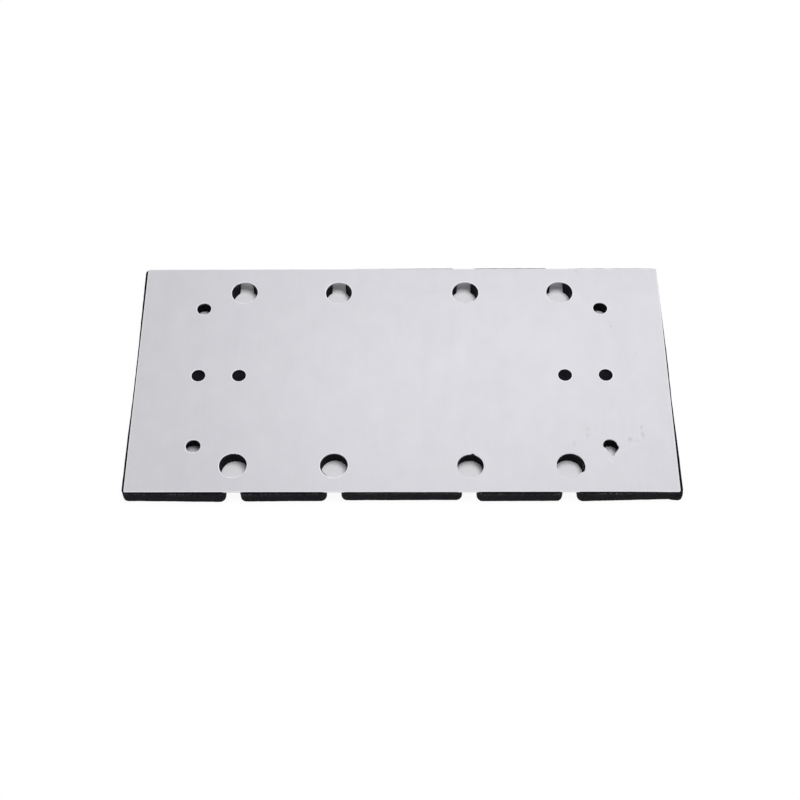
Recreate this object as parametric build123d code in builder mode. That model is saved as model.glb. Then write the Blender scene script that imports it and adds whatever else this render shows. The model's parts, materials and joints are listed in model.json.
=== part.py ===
"""Base plate of an orbital sheet sander: an aluminium backing plate bonded to a cushion pad.

Millimetres, +Z up. The origin is at the centre of the underside, on the surface that the part lies
on. +X runs along the plate's length, and the torn screw hole is at the front (-Y), on the right (+X).
"""

import os

from build123d import *

# Backing plate, a flat blank of thin aluminium sheet
plate_length = 185.0
plate_width = 93.0
plate_thickness = 0.5
plate_corner_radius = 0.5
plate_edge_break = 0.1

# Holes in the plate. The dust rows follow the long edges. There is a screw at each corner, and a pair
# of smaller ones at each end of the middle row
dust_hole_diameter = 9.2
dust_row_inset = 10.4
outer_dust_spacing = 113.5
inner_dust_spacing = 45.5
corner_screw_diameter = 5.0
middle_screw_diameter = 4.8
screw_row_spacing = 57.4
outer_screw_spacing = 141.8
screw_pair_pitch = 14.15

# Tear in the rim of the front right screw hole, which narrows from the rim to a blunt tip. Its
# corners are placed by angles in degrees from +X, as seen from the hole's centre
tear_depth = 1.6
tear_left_angle = -106.0
tear_right_angle = -22.0
tear_tip_angle = -82.0
tear_tip_spread = 8.0

# Cushion pad, die-cut from foam rubber and bonded under the plate. It stands out a little past the
# plate's long sides and short ends, and its holes sit a little to the left of the plate's
pad_thickness = 5.0
pad_side_overhang = 1.0
pad_end_overhang = 0.7
pad_corner_radius = 2.0
pad_edge_radius = 0.5
pad_slip_x = -0.2
pad_dust_clearance = 0.1
pad_screw_clearance = 0.3

# Dust channel from each dust hole to the nearest long edge, through the pad's full thickness
channel_width = 4.7
channel_mouth_radius = 2.0

# Worked out from the sizes above
pad_length = plate_length + 2 * pad_end_overhang
pad_width = plate_width + 2 * pad_side_overhang
dust_radius = dust_hole_diameter / 2
corner_radius = corner_screw_diameter / 2
pad_dust_radius = dust_radius + pad_dust_clearance
inner_screw_spacing = outer_screw_spacing - 2 * screw_pair_pitch
dust_row_spacing = plate_width - 2 * dust_row_inset
dust_row_y = dust_row_spacing / 2
torn_hole = (outer_screw_spacing / 2, -screw_row_spacing / 2)


def tear_point(radius, angle):
    """A corner of the tear, at this distance and angle from the hole's centre."""
    return Vector(radius, 0).rotate(Axis.Z, angle)


def is_dust_arc(edge):
    """True of the round part of a dust hole in the pad."""
    return edge.geom_type == GeomType.CIRCLE and abs(edge.radius - pad_dust_radius) < 0.01


# Backing plate
with BuildPart() as backing_plate:
    with BuildSketch(Plane.XY.offset(pad_thickness)):
        RectangleRounded(plate_length, plate_width, plate_corner_radius)
        for spacing in (outer_dust_spacing, inner_dust_spacing):
            with GridLocations(spacing, dust_row_spacing, 2, 2):
                Circle(dust_radius, mode=Mode.SUBTRACT)
        for spacing in (outer_screw_spacing, inner_screw_spacing):
            with GridLocations(spacing, 0, 2, 1):
                Circle(middle_screw_diameter / 2, mode=Mode.SUBTRACT)
        with GridLocations(outer_screw_spacing, screw_row_spacing, 2, 2):
            Circle(corner_radius, mode=Mode.SUBTRACT)
        with Locations(torn_hole):
            Polygon(
                tear_point(corner_radius, tear_left_angle),
                tear_point(corner_radius + tear_depth, tear_tip_angle - tear_tip_spread),
                tear_point(corner_radius + tear_depth, tear_tip_angle + tear_tip_spread),
                tear_point(corner_radius, tear_right_angle),
                align=None,
                mode=Mode.SUBTRACT,
            )
    extrude(amount=plate_thickness)
    plate_top = backing_plate.faces().sort_by(Axis.Z)[-1]
    chamfer(plate_top.outer_wire().edges(), length=plate_edge_break)
backing_plate.part.label = "backing_plate"

# Cushion pad with its keyhole-shaped dust channels and its screw holes
with BuildPart() as cushion_pad:
    with BuildSketch() as pad_outline:
        RectangleRounded(pad_length, pad_width, pad_corner_radius)
        with Locations((pad_slip_x, 0)):
            for spacing in (outer_dust_spacing, inner_dust_spacing):
                with GridLocations(spacing, dust_row_spacing, 2, 2):
                    Circle(pad_dust_radius, mode=Mode.SUBTRACT)
            with GridLocations(outer_screw_spacing, screw_row_spacing, 2, 2):
                Circle(corner_radius + pad_screw_clearance, mode=Mode.SUBTRACT)
            for spacing in (outer_dust_spacing, inner_dust_spacing):
                with GridLocations(spacing, dust_row_y + pad_width / 2, 2, 2):
                    Rectangle(channel_width, pad_width / 2 - dust_row_y, mode=Mode.SUBTRACT)
        # Along each long edge, the first and last points end the pad's own corners
        edge_points = pad_outline.vertices().group_by(Axis.Y)
        for edge_row in (edge_points[0], edge_points[-1]):
            fillet(edge_row.sort_by(Axis.X)[1:-1], radius=channel_mouth_radius)
    extrude(amount=pad_thickness)
    # The underside's rim is soft, apart from the round holes, whose edges stay sharp
    rim = cushion_pad.faces().sort_by(Axis.Z)[0].outer_wire().edges()
    fillet(rim - rim.filter_by(is_dust_arc), radius=pad_edge_radius)
cushion_pad.part.label = "cushion_pad"

os.makedirs("parts", exist_ok=True)
export_step(backing_plate.part, "parts/backing_plate.step")
export_step(cushion_pad.part, "parts/cushion_pad.step")
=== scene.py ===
"""Looks of an orbital sander's base plate: a thin satin aluminium sheet on a black foam rubber pad.

Metres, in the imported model's frame. Both CAD nodes are replaced by meshes made here from outlines,
with the photographed part's torn screw hole, damaged rims and uneven pad edge.
"""

import json
import math
from collections import namedtuple

import bpy
import numpy as np
from mathutils import Euler, Matrix, Vector, noise
from mathutils.geometry import delaunay_2d_cdt


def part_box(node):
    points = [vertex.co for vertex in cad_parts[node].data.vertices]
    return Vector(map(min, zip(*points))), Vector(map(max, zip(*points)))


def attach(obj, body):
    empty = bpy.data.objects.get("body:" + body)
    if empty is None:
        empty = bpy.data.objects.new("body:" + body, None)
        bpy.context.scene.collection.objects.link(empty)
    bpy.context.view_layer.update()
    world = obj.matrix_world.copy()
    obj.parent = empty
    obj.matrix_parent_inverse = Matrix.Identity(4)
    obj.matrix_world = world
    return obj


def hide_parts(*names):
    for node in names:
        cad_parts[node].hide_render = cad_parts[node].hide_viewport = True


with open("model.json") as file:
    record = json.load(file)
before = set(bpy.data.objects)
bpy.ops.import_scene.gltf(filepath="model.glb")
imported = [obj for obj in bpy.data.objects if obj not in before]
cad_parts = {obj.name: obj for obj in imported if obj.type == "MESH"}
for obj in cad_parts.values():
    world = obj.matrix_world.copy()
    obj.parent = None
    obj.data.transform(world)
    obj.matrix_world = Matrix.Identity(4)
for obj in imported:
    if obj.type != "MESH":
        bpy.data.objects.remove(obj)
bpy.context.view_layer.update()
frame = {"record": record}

MM = 0.001
FRONT, BACK = -1, 1
plate_low, plate_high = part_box("backing_plate")
pad_low, pad_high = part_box("cushion_pad")
mounts = {mount["name"]: mount for mount in frame["record"]["mounts"]}


def bolt_centres(name):
    """Centres of a bolt pattern's holes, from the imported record."""
    mount = mounts[name]
    x, y, _ = mount["pos_m"]
    half_x = mount["dims"]["spacing_x_mm"] * MM / 2
    half_y = mount["dims"].get("spacing_y_mm", 0) * MM / 2
    return sorted({(x + i * half_x, y + j * half_y) for i in (-1, 1) for j in (-1, 1)})


# Hole pattern. The dust rows follow the plate's long edges, as in the CAD model
DUST_SPACINGS = (113.5 * MM, 45.5 * MM)
DUST_COLUMNS = sorted(i * spacing / 2 for i in (-1, 1) for spacing in DUST_SPACINGS)
DUST_ROW_INSET = 10.4 * MM
DUST_ROW = plate_high.y - DUST_ROW_INSET
SCREW_RADIUS = mounts["corner_screws"]["dims"]["hole_r_mm"] * MM
CORNER_SCREWS = bolt_centres("corner_screws")
TORN_HOLE = (max(x for x, _ in CORNER_SCREWS), min(y for _, y in CORNER_SCREWS))
FRONT_LEFT_HOLE = (-TORN_HOLE[0], TORN_HOLE[1])

# The photographed part's own dust holes from left to right, in millimetres. The plate's hole lies (x, y)
# off its place in the pattern. The pad's hole lies at its own x and pad_y off the row, and the channel
# at its own x
DustHole = namedtuple("DustHole", "x y radius pad_x pad_y pad_radius channel_x")
DUST_HOLES = {
    FRONT: [
        DustHole(0.08, -0.12, 4.65, -56.38, -0.1, 4.65, -56.38),
        DustHole(-0.02, -0.16, 4.67, -22.65, 0.15, 4.55, -22.65),
        DustHole(0.34, -0.36, 4.44, 22.95, 0.0, 4.65, 22.6),
        DustHole(-0.09, -0.30, 4.70, 56.12, -0.12, 4.8, 56.12),
    ],
    BACK: [
        DustHole(0.02, -0.19, 4.65, -56.47, -0.35, 4.5, -56.51),
        DustHole(-0.02, -0.32, 4.66, -23.05, -0.35, 4.4, -22.9),
        DustHole(0.03, -0.32, 4.70, 22.4, -0.4, 4.6, 22.4),
        DustHole(-0.06, -0.30, 4.68, 56.15, -0.4, 4.65, 56.12),
    ],
}


# Outlines. Each is a closed line of points in plan with the material on its left


def arc(centre, radius, start, end, spacing):
    """Points on an arc from one angle to another, in degrees, with both ends."""
    sweep = math.radians(end - start)
    count = max(2, math.ceil(abs(sweep) * radius / spacing))
    angles = math.radians(start) + np.linspace(0, sweep, count + 1)
    return np.column_stack((centre[0] + radius * np.cos(angles), centre[1] + radius * np.sin(angles)))


def circle(centre, radius, spacing):
    """A round hole's outline."""
    return arc(centre, radius, 0, -360, spacing)[:-1]


def rounded(corners, spacing):
    """A closed outline through corners given as (x, y, radius), each rounded by its radius."""
    points = []
    for i, (x, y, radius) in enumerate(corners):
        corner = Vector((x, y))
        if radius == 0:
            points.append((x, y))
            continue
        back = (Vector(corners[i - 1][:2]) - corner).normalized()
        ahead = (Vector(corners[(i + 1) % len(corners)][:2]) - corner).normalized()
        half = back.angle(ahead) / 2
        centre = corner + (back + ahead).normalized() * radius / math.sin(half)
        first = corner + back * radius / math.tan(half) - centre
        turn = math.degrees(math.pi - 2 * half) * (1 if back.cross(ahead) < 0 else -1)
        start = math.degrees(math.atan2(first.y, first.x))
        points.extend(arc(centre, radius, start, start + turn, spacing))
    return np.array(points)


def spaced(points, spacing):
    """The same outline with points added where two lie further apart than the spacing."""
    filled = []
    for a, b in zip(points, np.roll(points, -1, axis=0)):
        steps = max(1, math.ceil(np.linalg.norm(b - a) / spacing))
        filled.extend(a + (b - a) * i / steps for i in range(steps))
    return np.array(filled)


def smoothed(points, rounds):
    """The same outline with its corners eased by averaging neighbours."""
    for _ in range(rounds):
        points = (np.roll(points, 1, axis=0) + 2 * points + np.roll(points, -1, axis=0)) / 4
    return points


def outward(points):
    """Unit vectors that point out of the material, to the right of the outline."""
    before = points - np.roll(points, 1, axis=0)
    after = np.roll(points, -1, axis=0) - points
    before /= np.linalg.norm(before, axis=1)[:, None]
    after /= np.linalg.norm(after, axis=1)[:, None]
    along = before + after
    along /= np.linalg.norm(along, axis=1)[:, None]
    return np.column_stack((along[:, 1], -along[:, 0]))


def inside(points, outlines):
    """Which points lie in the material, by counting the sides of outlines to their right."""
    found = np.zeros(len(points), bool)
    x, y = points[:, :1], points[:, 1:]
    for outline in outlines:
        x0, y0 = outline[:, 0], outline[:, 1]
        x1, y1 = np.roll(x0, -1), np.roll(y0, -1)
        spans = (y0 > y) != (y1 > y)
        rise = np.where(y1 == y0, 1, y1 - y0)
        crossing = x0 + (y - y0) * (x1 - x0) / rise
        found ^= np.sum(spans & (x < crossing), axis=1) % 2 == 1
    return found


# Solids made from outlines

# The share of a grid's pitch that its points keep clear of the outlines
GRID_CLEARANCE = 0.4
MERGE_DISTANCE = 1e-9
# How far a flat face's outermost ring of points lies in from its edge
FLAT_MARGIN = 0.05 * MM
# The share of the first ring's inset that is used where an outline turns sharply
TIGHT_SHARE = 0.3


def cap_grid(outlines, pitch):
    """Points on a square grid inside the outlines, none of them close to an outline."""
    rim = np.vstack(outlines)
    xs = np.arange(rim[:, 0].min() + pitch, rim[:, 0].max(), pitch)
    ys = np.arange(rim[:, 1].min() + pitch, rim[:, 1].max(), pitch)
    points = np.array([(x, y) for x in xs for y in ys])
    points = points[inside(points, outlines)]
    gaps = [np.hypot(*(rim - p).T).min() for p in points]
    return points[np.array(gaps) > pitch * GRID_CLEARANCE]


def add_walls(vertices, faces, outlines, rings, tight):
    """Adds each outline's rings and the faces between them, and gives each outline's first vertex."""
    starts = []
    for number, outline in enumerate(outlines):
        starts.append(len(vertices))
        normals = outward(outline)
        for k, (height, inset) in enumerate(rings):
            if k == 0 and number in tight:
                inset *= TIGHT_SHARE
            rim = min(k, 1)
            vertices.extend((x, y, height, rim) for x, y in outline - normals * inset)
        for k in range(len(rings) - 1):
            upper = starts[-1] + k * len(outline)
            lower = upper + len(outline)
            for i in range(len(outline)):
                j = (i + 1) % len(outline)
                faces.append((upper + i, lower + i, lower + j, upper + j))
    return starts


def add_cap(vertices, faces, outlines, starts, k, height, pitch):
    """Adds the flat face inside ring k, triangulated round a grid of points."""
    ids, edges, cap_outlines = [], [], []
    for start, outline in zip(starts, outlines):
        base, count = len(ids), len(outline)
        ids.extend(range(start + k * count, start + (k + 1) * count))
        edges.extend((base + i, base + (i + 1) % count) for i in range(count))
        cap_outlines.append(np.array([vertices[i][:2] for i in ids[base:]]))
    inner = cap_grid(cap_outlines, pitch)
    ids.extend(range(len(vertices), len(vertices) + len(inner)))
    vertices.extend((x, y, height, 0) for x, y in inner)
    plan = [Vector(vertices[i][:2]) for i in ids]
    _, _, triangles, sources, _, _ = delaunay_2d_cdt(plan, edges, [], 0, MERGE_DISTANCE)
    centres = np.array([np.mean([plan[sources[i][0]] for i in t], axis=0) for t in triangles])
    for triangle, kept in zip(triangles, inside(centres, cap_outlines)):
        if kept:
            face = [ids[sources[i][0]] for i in triangle]
            faces.append(face if k == 0 else face[::-1])


def solid_from(name, outlines, rings, pitch, tight=()):
    """A closed mesh from outlines and rings of (height, inset), which run from its top to its underside.

    The outlines numbered in tight turn sharply, so their first ring lies closer to the edge. The
    attribute "rim" is 0 at the first ring and inside the two flat faces, and 1 at the other rings.
    """
    vertices, faces = [], []
    starts = add_walls(vertices, faces, outlines, rings, tight)
    for k in (0, len(rings) - 1):
        add_cap(vertices, faces, outlines, starts, k, rings[k][0], pitch)
    mesh = bpy.data.meshes.new(name)
    mesh.from_pydata([vertex[:3] for vertex in vertices], [], faces)
    mesh.shade_smooth()
    mesh.attributes.new("rim", "FLOAT", "POINT").data.foreach_set("value", [v[3] for v in vertices])
    piece = bpy.data.objects.new(name, mesh)
    bpy.context.scene.collection.objects.link(piece)
    return piece


def rounded_rim(height, radius, steps, upper):
    """Rings of a rounded edge between a flat face at this height and an upright wall, from above."""
    angles = [math.pi / 2 * i / steps for i in range(steps + 1)]
    rings = [(-radius * (1 - math.cos(a)), radius * (1 - math.sin(a))) for a in angles]
    if upper:
        return [(height + drop, inset) for drop, inset in rings]
    return [(height - drop, inset) for drop, inset in reversed(rings)]


# Backing plate

PLATE_CORNER_RADIUS = 0.5 * MM
PLATE_UPPER_RIM = 0.1 * MM
PLATE_UPPER_STEPS = 4
PLATE_LOWER_BREAK = 0.02 * MM
# Less than the corner radius, or the ring inside the burnished rim with its painted highlight would cross
# itself at the corners
BURNISH_AND_HIGHLIGHT_WIDTH = 0.45 * MM
# The front left screw hole lies this far to the right of its place in the pattern
FRONT_LEFT_SHIFT = 0.3 * MM
# Distances between points on the plate's corners, edges, screw holes, and torn or dust hole rims
CORNER_SPACING = 0.1 * MM
EDGE_SPACING = 1.5 * MM
HOLE_SPACING = 0.3 * MM
RIM_SPACING = 0.15 * MM
PLATE_GRID = 3 * MM

# The torn screw hole, in millimetres from its place in the pattern. Its round rim has slipped to the
# left. The tear runs from that rim's left end round a blunt tip in front to its right end
TORN_RIM = (-0.47, 0.1, 2.4)
TORN_RIM_ANGLES = (195, 8)
TORN_RIM_SPACING = 0.2
TEAR = [(-2.30, -0.80), (-1.75, -1.55), (-1.28, -2.35), (-0.88, -3.10), (-0.50, -3.75), (-0.10, -3.85),
        (0.25, -4.05), (0.62, -3.90), (0.90, -3.20), (1.42, -2.45), (1.95, -1.75), (2.33, -1.05),
        (2.45, -0.30)]
TEAR_SMOOTHING = 6

# Damage to the rims of dust holes, by row and by column, counted from 0 on the left: the angle from +X
# of its deepest point, its reach to lower and to higher angles in degrees, and its depth in
# millimetres, which is negative where the metal stands into the hole. It falls off as a power
RIM_DAMAGE = {
    (FRONT, 2): [(80.0, 10.0, 5.0, 0.55), (216.0, 8.0, 24.0, -0.25)],
    (FRONT, 3): [(-28.0, 5.0, 40.0, 0.3), (-40.0, 50.0, 5.0, -0.45)],
}
DAMAGE_POWER = 0.7
DAMAGE_SMOOTHING = 4


def torn_outline():
    """The torn screw hole: its round rim, then the tear."""
    x, y, radius = TORN_RIM
    rim = arc((x, y), radius, *TORN_RIM_ANGLES, TORN_RIM_SPACING)
    points = np.vstack((rim, TEAR[::-1]))
    return smoothed(spaced(points * MM + TORN_HOLE, RIM_SPACING), TEAR_SMOOTHING)


def dust_outline(side, column):
    """A dust hole in the plate, with its damage."""
    hole = DUST_HOLES[side][column]
    centre = np.array((DUST_COLUMNS[column] + hole.x * MM, side * DUST_ROW + hole.y * MM))
    outline = circle(centre, hole.radius * MM, RIM_SPACING)
    away = outline - centre
    angle = np.degrees(np.arctan2(away[:, 1], away[:, 0]))
    depth = np.zeros(len(outline))
    for deepest, lower, higher, most in RIM_DAMAGE.get((side, column), []):
        off = (angle - deepest + 180) % 360 - 180
        share = np.clip(1 - np.where(off < 0, -off / lower, off / higher), 0, 1)
        depth += most * share ** DAMAGE_POWER
    return smoothed(centre + away * (1 + depth / hole.radius)[:, None], DAMAGE_SMOOTHING)


def plate_outlines():
    """The plate's edge and its sixteen holes, and the numbers of those with damaged rims."""
    (x0, y0), (x1, y1) = plate_low.xy, plate_high.xy
    corners = [(x, y, PLATE_CORNER_RADIUS) for x, y in ((x0, y0), (x1, y0), (x1, y1), (x0, y1))]
    outlines = [spaced(rounded(corners, CORNER_SPACING), EDGE_SPACING)]
    damaged = []
    for name in ("corner_screws", "middle_outer_screws", "middle_inner_screws"):
        radius = mounts[name]["dims"]["hole_r_mm"] * MM
        for centre in bolt_centres(name):
            if centre == TORN_HOLE:
                damaged.append(len(outlines))
                outlines.append(torn_outline())
                continue
            if centre == FRONT_LEFT_HOLE:
                centre = (centre[0] + FRONT_LEFT_SHIFT, centre[1])
            outlines.append(circle(centre, radius, HOLE_SPACING))
    for column in range(len(DUST_COLUMNS)):
        for side in DUST_HOLES:
            if (side, column) in RIM_DAMAGE:
                damaged.append(len(outlines))
            outlines.append(dust_outline(side, column))
    return outlines, damaged


def make_plate():
    """The aluminium sheet, with softened, burnished rims above and sharp ones underneath. A painted
    highlight lightens its rims and walls.
    """
    rings = [(plate_high.z, BURNISH_AND_HIGHLIGHT_WIDTH)]
    rings += rounded_rim(plate_high.z, PLATE_UPPER_RIM, PLATE_UPPER_STEPS, True)
    rings += [(plate_low.z + PLATE_LOWER_BREAK, 0), (plate_low.z, PLATE_LOWER_BREAK)]
    rings += [(plate_low.z, FLAT_MARGIN)]
    outlines, damaged = plate_outlines()
    return solid_from("plate_sheet", outlines, rings, PLATE_GRID, damaged)


# Cushion pad

# Its screw holes are wider than the plate's and lie a little to the left. All but the front left one
# lie further to the front as well
PAD_SLIP_X = -0.2 * MM
PAD_FRONT_RADIUS = SCREW_RADIUS + 0.9 * MM
PAD_TORN_SLIP_Y = -0.5 * MM
PAD_BACK_RADIUS = SCREW_RADIUS + 0.6 * MM
PAD_BACK_SLIP_Y = -0.35 * MM
CHANNEL_WIDTHS = {FRONT: 4.85 * MM, BACK: 4.95 * MM}
MOUTH_RADIUS = 2.0 * MM
JUNCTION_RADIUS = 0.45 * MM
# Radii of the pad's corners: front left, front right, back right and back left
PAD_CORNER_RADII = [r * MM for r in (1.6, 1.4, 1.8, 1.8)]

# How far the pad stands out past the plate's edges, in millimetres. Along the long edges, at both ends
# of each block between channels. Along the ends, at shares of the way from the front to the back
SIDE_OVERHANGS = {
    FRONT: [(0.45, 0.93), (0.73, 0.53), (0.30, 0.21), (0.70, 0.62), (0.83, -0.05)],
    BACK: [(0.38, 0.40), (0.40, 0.42), (0.42, 0.66), (0.62, 0.66), (0.50, 0.50)],
}
END_PLACES = (0.0, 0.22, 0.40, 0.60, 0.79, 1.0)
LEFT_OVERHANGS = (0.82, 0.75, 0.50, 0.50, 0.72, 0.90)
RIGHT_OVERHANGS = (1.0, 0.75, 0.47, 0.50, 0.20, 0.08)
# How far in from the plate's edge the pad's outline is stretched to stand out
OVERHANG_REACH = 6 * MM

# The wall is uneven in long waves and in small cells, and bulges at the front right corner. The bulge
# falls off as a power of the distance and ends at its reach. It is largest about a third of the way up
# the wall, a little less at the foot and nothing at the top, and weaker where the wall faces right
WALL_WAVES = 0.06 * MM
WAVE_LENGTH = 3.0 * MM
CELL_DEPTH = 0.04 * MM
CELL_SIZE = 0.5 * MM
BULGE = 1.1 * MM
BULGE_REACH = 2.9 * MM
BULGE_POWER = 0.35
BULGE_AT_FOOT = 0.4
BULGE_FACING_RIGHT = 0.5

PAD_UPPER_RIM = 0.15 * MM
PAD_UPPER_STEPS = 3
PAD_LOWER_RIM = 0.3 * MM
PAD_LOWER_STEPS = 4
PAD_WALL_RINGS = 12
PAD_SPACING = 0.35 * MM
PAD_GRID = 2.5 * MM


def overhang_along(x, side):
    """Overhang at x, running evenly from end to end of each block between the channels."""
    channels = [hole.channel_x * MM for hole in DUST_HOLES[side]]
    block = sum(x > channel for channel in channels)
    ends = [-plate_high.x, *channels, plate_high.x]
    share = (x - ends[block]) / (ends[block + 1] - ends[block])
    share = min(max(share, 0), 1)
    first, last = SIDE_OVERHANGS[side][block]
    return (first * (1 - share) + last * share) * MM


def keyhole(hole, side, edge_y):
    """Corners of one dust hole and its channel, from the long edge at edge_y round and back to it."""
    centre = (hole.pad_x * MM, side * DUST_ROW + hole.pad_y * MM)
    radius = hole.pad_radius * MM
    half = CHANNEL_WIDTHS[side] / 2
    walls = [hole.channel_x * MM + side * half, hole.channel_x * MM - side * half]
    start, end = (side * math.degrees(math.acos((x - centre[0]) / radius)) for x in walls)
    rim = [(x, y, 0) for x, y in arc(centre, radius, start, end - 360, PAD_SPACING)]
    rim[0] = (*rim[0][:2], JUNCTION_RADIUS)
    rim[-1] = (*rim[-1][:2], JUNCTION_RADIUS)
    return [(walls[0], edge_y, MOUTH_RADIUS), *rim, (walls[1], edge_y, MOUTH_RADIUS)]


def stretched(edge):
    """The outline moved out past the plate's edges by the overhangs."""
    plate_depth = plate_high.y * 2
    moved = edge.copy()
    for point, (x, y) in zip(moved, edge):
        front = np.clip(1 - (y - plate_low.y) / OVERHANG_REACH, 0, 1)
        back = np.clip(1 - (plate_high.y - y) / OVERHANG_REACH, 0, 1)
        left = np.clip(1 - (x - plate_low.x) / OVERHANG_REACH, 0, 1)
        right = np.clip(1 - (plate_high.x - x) / OVERHANG_REACH, 0, 1)
        along = (y - plate_low.y) / plate_depth
        point[1] += back * overhang_along(x, BACK)
        point[1] -= front * overhang_along(x, FRONT)
        point[0] -= left * np.interp(along, END_PLACES, LEFT_OVERHANGS) * MM
        point[0] += right * np.interp(along, END_PLACES, RIGHT_OVERHANGS) * MM
    return moved


def pad_screw_outline(x, y):
    """The pad's hole under the plate's corner screw hole at this place."""
    radius, slip_y = (PAD_FRONT_RADIUS, 0) if y < 0 else (PAD_BACK_RADIUS, PAD_BACK_SLIP_Y)
    if (x, y) == TORN_HOLE:
        slip_y = PAD_TORN_SLIP_Y
    return circle((x + PAD_SLIP_X, y + slip_y), radius, PAD_SPACING)


def pad_outlines():
    """The pad's edge with its eight keyholes, and its four screw holes."""
    front, back = plate_low.y, plate_high.y
    left, right = plate_low.x, plate_high.x
    corners = [(left, front, PAD_CORNER_RADII[0])]
    for hole in DUST_HOLES[FRONT]:
        corners += keyhole(hole, FRONT, front)
    corners += [(right, front, PAD_CORNER_RADII[1]), (right, back, PAD_CORNER_RADII[2])]
    for hole in reversed(DUST_HOLES[BACK]):
        corners += keyhole(hole, BACK, back)
    corners += [(left, back, PAD_CORNER_RADII[3])]
    edge = spaced(rounded(corners, PAD_SPACING), PAD_SPACING)
    return [stretched(edge)] + [pad_screw_outline(x, y) for x, y in CORNER_SCREWS]


def wall_bulge(place, out, height):
    """How far the pad's wall bulges at this place, where it faces out, at a share of its height."""
    corner = Vector((plate_high.x, plate_low.y))
    near = max(0, 1 - (place.xy - corner).length / BULGE_REACH) ** BULGE_POWER
    facing = max(0, -out.y) + max(0, out.x) * BULGE_FACING_RIGHT
    return BULGE * near * facing * (1 - height) * (BULGE_AT_FOOT + height)


def uneven_walls(pad):
    """Moves the pad's walls in and out a little, but none of the points on its two flat faces."""
    margin = 0.001
    normals = [vertex.normal.copy() for vertex in pad.data.vertices]
    for vertex, normal in zip(pad.data.vertices, normals):
        height = (vertex.co.z - pad_low.z) / (pad_high.z - pad_low.z)
        if not margin < height < 1 - margin:
            continue
        out = Vector((*normal.xy, 0)).normalized()
        waves = WALL_WAVES * noise.noise(vertex.co / WAVE_LENGTH)
        cells = CELL_DEPTH * noise.noise(vertex.co / CELL_SIZE)
        vertex.co += out * (waves + cells + wall_bulge(vertex.co, out, height))


def make_pad():
    """The foam pad, with soft rims and slightly uneven cut walls."""
    rings = [(pad_high.z, PAD_UPPER_RIM + FLAT_MARGIN)]
    rings += rounded_rim(pad_high.z, PAD_UPPER_RIM, PAD_UPPER_STEPS, True)
    low, high = pad_low.z + PAD_LOWER_RIM, pad_high.z - PAD_UPPER_RIM
    rings += [(high + (low - high) * i / PAD_WALL_RINGS, 0) for i in range(1, PAD_WALL_RINGS)]
    rings += rounded_rim(pad_low.z, PAD_LOWER_RIM, PAD_LOWER_STEPS, False)
    rings += [(pad_low.z, PAD_LOWER_RIM + FLAT_MARGIN)]
    pad = solid_from("foam_pad", pad_outlines(), rings, PAD_GRID)
    uneven_walls(pad)
    return pad


# Shader nodes

# Octaves of the noises that set a surface's main tone. The others have fewer
TONE_DETAIL = 3


def node_tree(owner):
    """The node tree of a new material or world, without its first shader."""
    owner.use_nodes = True
    for made in list(owner.node_tree.nodes):
        if made.type not in ("OUTPUT_MATERIAL", "OUTPUT_WORLD"):
            owner.node_tree.nodes.remove(made)
    return owner.node_tree


def node(tree, kind, inputs=None, **settings):
    """A new shader node. Each input is set to a value or joined to another node's socket."""
    made = tree.nodes.new("ShaderNode" + kind)
    for key, value in settings.items():
        setattr(made, key, value)
    for key, value in (inputs or {}).items():
        if isinstance(value, bpy.types.NodeSocket):
            tree.links.new(value, made.inputs[key])
        else:
            made.inputs[key].default_value = value
    return made


def maths(tree, operation, *values):
    """The result of a Math node."""
    return node(tree, "Math", dict(enumerate(values)), operation=operation).outputs[0]


def rescaled(tree, value, low, high, to_low=0, to_high=1):
    """A value's range stretched to another one and held inside it."""
    inputs = {"Value": value, "From Min": low, "From Max": high, "To Min": to_low, "To Max": to_high}
    return node(tree, "MapRange", inputs).outputs[0]


def stretched_noise(tree, place, scale, detail=2):
    """Noise from 0 to 1, with a frequency per metre along each axis."""
    mapped = node(tree, "Mapping", {"Vector": place, "Scale": scale}).outputs[0]
    return node(tree, "TexNoise", {"Vector": mapped, "Scale": 1.0, "Detail": detail}).outputs[0]


def colour_mix(tree, factor, first, second):
    """A colour between two others."""
    return node(tree, "Mix", {"Factor": factor, "A": first, "B": second}, data_type="RGBA").outputs["Result"]


def rim_share(tree):
    """The mesh's own attribute, 1 on rims and walls and 0 inside the upper face."""
    return node(tree, "Attribute", attribute_name="rim").outputs["Fac"]


def use_surface(tree, shader):
    """Joins a shader to the material's output."""
    tree.links.new(shader.outputs[0], tree.nodes["Material Output"].inputs["Surface"])


# Plate finish. Noise scales are frequencies per metre, low along y, where the grain runs

PLATE_DARK = (0.532, 0.526, 0.558, 1)
PLATE_LIGHT = (0.58, 0.574, 0.606, 1)
# Burnished metal with a painted highlight, used on the rims, walls and bright marks
BURNISH_AND_HIGHLIGHT = (0.74, 0.735, 0.77, 1)
SCUFF_COLOUR = (0.2, 0.2, 0.21, 1)
CLOUD_SCALE, CLOUD_SHARE = (45, 45, 45), 0.45
MOTTLE_SCALE, MOTTLE_SHARE = (160, 110, 160), 0.42
GRAIN_SCALE, GRAIN_SHARE = (900, 30, 900), 0.13
FINE_GRAIN_SCALE = (3500, 250, 3500)
# The range that holds most of a noise's values
NOISE_RANGE = (0.3, 0.7)
PLATE_ROUGHNESS = (0.32, 0.36)
GRAIN_BUMP_STRENGTH = 0.03
GRAIN_BUMP_HEIGHT = 0.02 * MM

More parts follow.
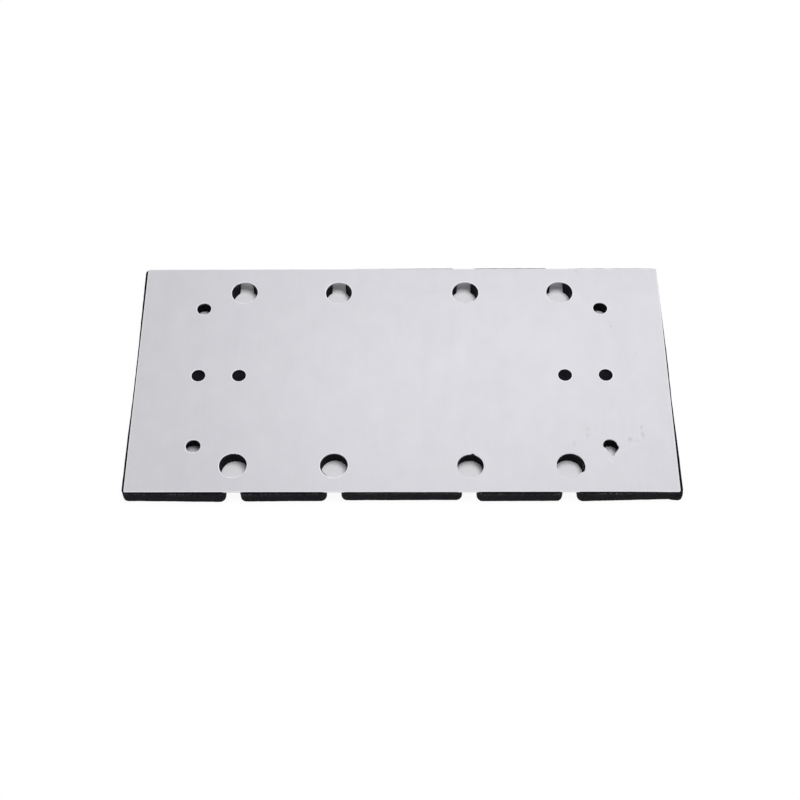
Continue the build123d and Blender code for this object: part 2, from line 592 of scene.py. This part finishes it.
# Faint marks on the plate: x, y, half-length and half-width in millimetres, angle in degrees, depth
SCUFFS = [
    (81.4, -21.5, 1.0, 0.7, 80, 1.0), (81.8, -24.6, 2.4, 0.8, 100, 0.5), (77.3, -26.3, 1.2, 1.0, 40, 0.8),
    (79.5, -27.0, 2.0, 0.7, 20, 0.3), (63.1, -22.1, 0.9, 0.7, 60, 0.5), (63.0, -24.7, 1.8, 0.7, 90, 0.35),
    (58.4, -27.9, 1.8, 0.7, 90, 0.35), (74.2, 20.7, 0.8, 0.6, 60, 0.8), (73.8, 22.6, 0.5, 0.4, 0, 0.6),
    (52.3, 22.4, 0.6, 0.5, 0, 0.5), (63.2, 45.2, 0.9, 0.5, -50, 0.9), (-24.3, 28.1, 1.0, 0.5, 0, 0.4),
    (10.1, 36.5, 5.0, 2.5, 10, 0.16), (-3.5, -24.5, 3.5, 2.5, 70, 0.16), (82.0, 8.5, 3.0, 0.6, 65, 0.25),
]
BRIGHT_MARKS = [
    (70.2, -34.6, 2.0, 0.35, -45, 0.5), (78.6, -28.2, 1.5, 0.6, 10, 0.2), (20.5, 11.0, 6.0, 4.0, 80, 0.08),
    (35.0, 12.0, 5.0, 3.5, 80, 0.07),
]
# Scuffs are patchy: this range of a fine noise gives this range of strengths
SCUFF_NOISE_SCALE = (1200, 1200, 1200)
SCUFF_NOISE_RANGE = (0.35, 0.6)
SCUFF_STRENGTHS = (0.1, 0.6)


def marks(tree, place, spots):
    """The depth of a mark in its middle, falling off to 0 round it."""
    most = None
    for x, y, half_length, half_width, angle, depth in spots:
        spot = node(tree, "Mapping", {
            "Vector": place,
            "Location": (x * MM, y * MM, plate_high.z),
            "Rotation": (0, 0, math.radians(angle)),
            "Scale": (half_length * MM, half_width * MM, 1),
        }, vector_type="TEXTURE").outputs[0]
        mark = node(tree, "TexGradient", {"Vector": spot}, gradient_type="SPHERICAL").outputs["Fac"]
        mark = maths(tree, "MULTIPLY", mark, depth)
        most = mark if most is None else maths(tree, "MAXIMUM", most, mark)
    return most


def plate_colour(tree, place, clouds, grain):
    """Cloudy, faintly grained metal with scuffs, bright marks, and burnished rims lightened by a painted
    highlight.
    """
    mottle = stretched_noise(tree, place, MOTTLE_SCALE, TONE_DETAIL)
    tone = maths(tree, "MULTIPLY", clouds, CLOUD_SHARE)
    for part, share in ((mottle, MOTTLE_SHARE), (grain, GRAIN_SHARE)):
        tone = maths(tree, "ADD", tone, maths(tree, "MULTIPLY", part, share))
    colour = colour_mix(tree, rescaled(tree, tone, *NOISE_RANGE), PLATE_DARK, PLATE_LIGHT)
    patchy = stretched_noise(tree, place, SCUFF_NOISE_SCALE)
    strength = rescaled(tree, patchy, *SCUFF_NOISE_RANGE, *SCUFF_STRENGTHS)
    wear = maths(tree, "MULTIPLY", marks(tree, place, SCUFFS), strength)
    colour = colour_mix(tree, wear, colour, SCUFF_COLOUR)
    # A painted highlight lightens the rims and walls, which are also burnished
    bright = maths(tree, "MAXIMUM", marks(tree, place, BRIGHT_MARKS), rim_share(tree))
    return colour_mix(tree, bright, colour, BURNISH_AND_HIGHLIGHT)


def plate_finish():
    """Satin rolled aluminium: a faint grain from front to back, cloudy patches and a few marks."""
    material = bpy.data.materials.new("satin_aluminium")
    tree = node_tree(material)
    place = node(tree, "TexCoord").outputs["Object"]
    clouds = stretched_noise(tree, place, CLOUD_SCALE, TONE_DETAIL)
    grain = stretched_noise(tree, place, GRAIN_SCALE, TONE_DETAIL)
    fine_grain = stretched_noise(tree, place, FINE_GRAIN_SCALE)
    bump = node(tree, "Bump", {
        "Height": maths(tree, "ADD", grain, fine_grain),
        "Strength": GRAIN_BUMP_STRENGTH,
        "Distance": GRAIN_BUMP_HEIGHT,
    })
    use_surface(tree, node(tree, "BsdfPrincipled", {
        "Base Color": plate_colour(tree, place, clouds, grain),
        "Metallic": 1.0,
        "Roughness": rescaled(tree, clouds, *NOISE_RANGE, *PLATE_ROUGHNESS),
        "Normal": bump.outputs[0],
    }))
    return material


# Foam finish. Noise scales are frequencies per metre

FOAM_DARK = (0.0028, 0.0026, 0.0042, 1)
FOAM_LIGHT = (0.0072, 0.0069, 0.0098, 1)
FOAM_PATCH_SCALE = (500, 500, 500)
FOAM_PATCH_RANGE = (0.35, 0.65)
FOAM_CELL_SCALE = 2200
FOAM_CELL_RANGE = (0, 0.6)
FOAM_ROUGHNESS = (0.75, 0.95)
FOAM_SPECULAR = 0.14
CELL_BUMP_STRENGTH = 0.5
CELL_BUMP_HEIGHT = 0.08 * MM
# Pale flecks, partly a painted highlight along the upper rim of the pad's walls
FLECK_AND_HIGHLIGHT_COLOUR = (0.072, 0.071, 0.08, 1)
FLECK_SCALE = (1500, 1500, 1900)
FLECK_RANGE = (0.5, 0.66)
# Flecks and their painted highlight start this far under the pad's upper face and are full from the second
# depth up
FLECK_AND_HIGHLIGHT_DEPTHS = (1.3 * MM, 0.2 * MM)
# They are thick along some stretches and thin along others
STRETCH_SCALE = (110, 110, 110)
STRETCH_RANGE = (0.35, 0.55)
STRETCH_SHARES = (0.25, 1)


def fleck_and_highlight_share(tree, place):
    """Where pale flecks and a painted highlight lie: on the walls, along their upper rim."""
    z = node(tree, "SeparateXYZ", {"Vector": place}).outputs["Z"]
    start, full = (pad_high.z - depth for depth in FLECK_AND_HIGHLIGHT_DEPTHS)
    upper = maths(tree, "MULTIPLY", rescaled(tree, z, start, full), rim_share(tree))
    stretches = stretched_noise(tree, place, STRETCH_SCALE, 1)
    upper = maths(tree, "MULTIPLY", upper, rescaled(tree, stretches, *STRETCH_RANGE, *STRETCH_SHARES))
    flecks = stretched_noise(tree, place, FLECK_SCALE)
    return maths(tree, "MULTIPLY", upper, rescaled(tree, flecks, *FLECK_RANGE))


def foam_finish():
    """Black foam rubber: fine cells, patchy tone, and pale flecks with a painted highlight along the cut
    upper rim.
    """
    material = bpy.data.materials.new("foam_rubber")
    tree = node_tree(material)
    place = node(tree, "TexCoord").outputs["Object"]
    patches = stretched_noise(tree, place, FOAM_PATCH_SCALE, TONE_DETAIL)
    cells = node(tree, "TexVoronoi", {"Vector": place, "Scale": FOAM_CELL_SCALE}).outputs["Distance"]
    colour = colour_mix(tree, rescaled(tree, patches, *FOAM_PATCH_RANGE), FOAM_DARK, FOAM_LIGHT)
    # Pale flecks and a painted highlight along the upper rim
    colour = colour_mix(tree, fleck_and_highlight_share(tree, place), colour, FLECK_AND_HIGHLIGHT_COLOUR)
    bump = node(tree, "Bump", {
        "Height": maths(tree, "ADD", cells, patches),
        "Strength": CELL_BUMP_STRENGTH,
        "Distance": CELL_BUMP_HEIGHT,
    })
    use_surface(tree, node(tree, "BsdfPrincipled", {
        "Base Color": colour,
        "Roughness": rescaled(tree, cells, *FOAM_CELL_RANGE, *FOAM_ROUGHNESS),
        "Specular IOR Level": FOAM_SPECULAR,
        "Normal": bump.outputs[0],
    }))
    return material


# Camera, as fitted to the plate's corners and holes in the photograph, from the plate's upper face

IMAGE_WIDTH = 800
FOCAL_PIXELS = 1547.0
SENSOR_WIDTH = 36
VIEW_DEPTH = 50
CAMERA_PLACE = Vector((3.01, -299.08, 447.78)) * MM
CAMERA_TURN, CAMERA_TILT, CAMERA_ROLL = (math.radians(a) for a in (0.722, 32.822, -0.700))


def make_camera():
    """The photograph's view."""
    data = bpy.data.cameras.new("camera")
    data.sensor_width = SENSOR_WIDTH
    data.lens = FOCAL_PIXELS / IMAGE_WIDTH * data.sensor_width
    data.clip_end = VIEW_DEPTH
    camera = bpy.data.objects.new("camera", data)
    bpy.context.scene.collection.objects.link(camera)
    facing = Euler((0, 0, CAMERA_TURN)).to_matrix() @ Euler((CAMERA_TILT, 0, 0)).to_matrix()
    facing = facing @ Euler((0, 0, CAMERA_ROLL)).to_matrix()
    place = CAMERA_PLACE + Vector((0, 0, plate_high.z))
    camera.matrix_world = Matrix.Translation(place) @ facing.to_4x4()
    bpy.context.scene.camera = camera


# Floor, sky and lamps

FLOOR_SIZE = 8.0
FLOOR_COLOUR = (0.875, 0.87, 0.90, 1)
WHITE = (1, 1, 1, 1)
# The floor round the part, as seen directly: its colour, and the share of it that glows. Where it reaches
# under the plate's edges, this glow is painted light over the shade there
BACKDROP_AND_PAINTED_LIGHT_COLOUR = (1.08, 1.08, 1.08, 1)
BACKDROP_AND_PAINTED_LIGHT_GLOW = 0.93
# It turns from its own colour to the glowing white round the part between these distances from the middle.
# Across the plate the middle is moved back, so that the white reaches further in at the front: painted light
# over the shade under the plate's front edge and in the channel mouths
BACKDROP_ENDS = (plate_high.x - 1 * MM, plate_high.x)
BACKDROP_SIDES = (43.5 * MM, 45.5 * MM)
BACKDROP_MIDDLE_Y = 2.5 * MM

# The sky's light, and the upward share of a direction between which it falls from low to high
SKY_LIGHT_LOW = 0.85
SKY_LIGHT_HIGH = 0.15
SKY_TURN = (0.55, 0.8)

# Each lamp stands in a direction from the part and faces it. Its width lies along the part's length,
# and its power is in watts. The key lamp is small and close overhead, a little to the right, and the
# sheen lamp stands behind the part
Lamp = namedtuple("Lamp", "direction distance width depth power")
KEY = Lamp((0.155, 0.035, 1.0), distance=0.8, width=0.30, depth=0.40, power=4.3)
SHEEN = Lamp((0.107, 0.556, 0.8243), distance=2.0, width=0.94, depth=0.3, power=1.07)


def seen_directly(tree):
    """1 for rays from the camera and for those seen in metal or through glass, otherwise 0."""
    path = node(tree, "LightPath").outputs
    direct = maths(tree, "MAXIMUM", path["Is Camera Ray"], path["Is Glossy Ray"])
    return maths(tree, "MAXIMUM", direct, path["Is Transmission Ray"])


def backdrop_and_painted_light_share(tree):
    """0 under the part and 1 round it. It reaches in under the plate's front edge, where the glow is painted
    light over the shade.
    """
    place = node(tree, "TexCoord").outputs["Object"]
    x, y = node(tree, "SeparateXYZ", {"Vector": place}).outputs[:2]
    past_ends = rescaled(tree, maths(tree, "ABSOLUTE", x), *BACKDROP_ENDS)
    from_middle = maths(tree, "ABSOLUTE", maths(tree, "SUBTRACT", y, BACKDROP_MIDDLE_Y))
    past_sides = rescaled(tree, from_middle, *BACKDROP_SIDES)
    return maths(tree, "MAXIMUM", past_ends, past_sides)


def make_floor():
    """A white floor, whose white reaches under the plate's edges where the channels open, as painted light
    over the shade there.
    """
    bpy.ops.mesh.primitive_plane_add(size=FLOOR_SIZE, location=(0, 0, pad_low.z))
    floor = bpy.context.object
    floor.name = "floor"
    material = bpy.data.materials.new("white_floor")
    tree = node_tree(material)
    seen = seen_directly(tree)
    backdrop_and_painted_light = backdrop_and_painted_light_share(tree)
    seen_colour = colour_mix(tree, backdrop_and_painted_light, FLOOR_COLOUR, BACKDROP_AND_PAINTED_LIGHT_COLOUR)
    colour = colour_mix(tree, seen, FLOOR_COLOUR, seen_colour)
    diffuse = node(tree, "BsdfDiffuse", {"Color": colour})
    glow = node(tree, "Emission", {"Color": WHITE})
    # The glow under the plate's edges is painted light over the shade there
    share = maths(tree, "MULTIPLY", seen, maths(tree, "MULTIPLY", backdrop_and_painted_light, BACKDROP_AND_PAINTED_LIGHT_GLOW))
    use_surface(tree, node(tree, "MixShader", {0: share, 1: diffuse.outputs[0], 2: glow.outputs[0]}))
    floor.data.materials.append(material)


def make_sky():
    """A white surround that lights the part, more from the sides than from overhead."""
    world = bpy.data.worlds.new("studio")
    bpy.context.scene.world = world
    tree = node_tree(world)
    direction = node(tree, "TexCoord").outputs["Generated"]
    height = node(tree, "SeparateXYZ", {"Vector": direction}).outputs["Z"]
    light = rescaled(tree, height, *SKY_TURN, SKY_LIGHT_LOW, SKY_LIGHT_HIGH)
    strength = maths(tree, "MAXIMUM", light, seen_directly(tree))
    background = node(tree, "Background", {"Color": WHITE, "Strength": strength})
    tree.links.new(background.outputs[0], tree.nodes["World Output"].inputs["Surface"])


def soft_lamp(name, lamp):
    """A soft box that faces the part."""
    data = bpy.data.lights.new(name, "AREA")
    data.shape = "RECTANGLE"
    data.size = lamp.width
    data.size_y = lamp.depth
    data.energy = lamp.power
    piece = bpy.data.objects.new(name, data)
    bpy.context.scene.collection.objects.link(piece)
    away = Vector(lamp.direction).normalized()
    along = Vector((0, 1, 0)).cross(away).normalized()
    facing = Matrix((along, away.cross(along), away)).transposed()
    piece.matrix_world = Matrix.Translation(away * lamp.distance) @ facing.to_4x4()
    return piece


# The two pieces, in place of the CAD model's

plate = make_plate()
pad = make_pad()
plate.data.materials.append(plate_finish())
pad.data.materials.append(foam_finish())

for piece, replaced, slot in ((plate, "backing_plate", "plate"), (pad, "cushion_pad", "pad")):
    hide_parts(replaced)
    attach(piece, "root")

make_camera()
make_floor()
make_sky()
# The metal's sheen comes from the lamp behind the part, so the key lamp doesn't show in it
key_lamp = soft_lamp("key", KEY)
key_lamp.visible_glossy = False
soft_lamp("sheen", SHEEN)

bpy.context.scene.view_settings.view_transform = "Standard"
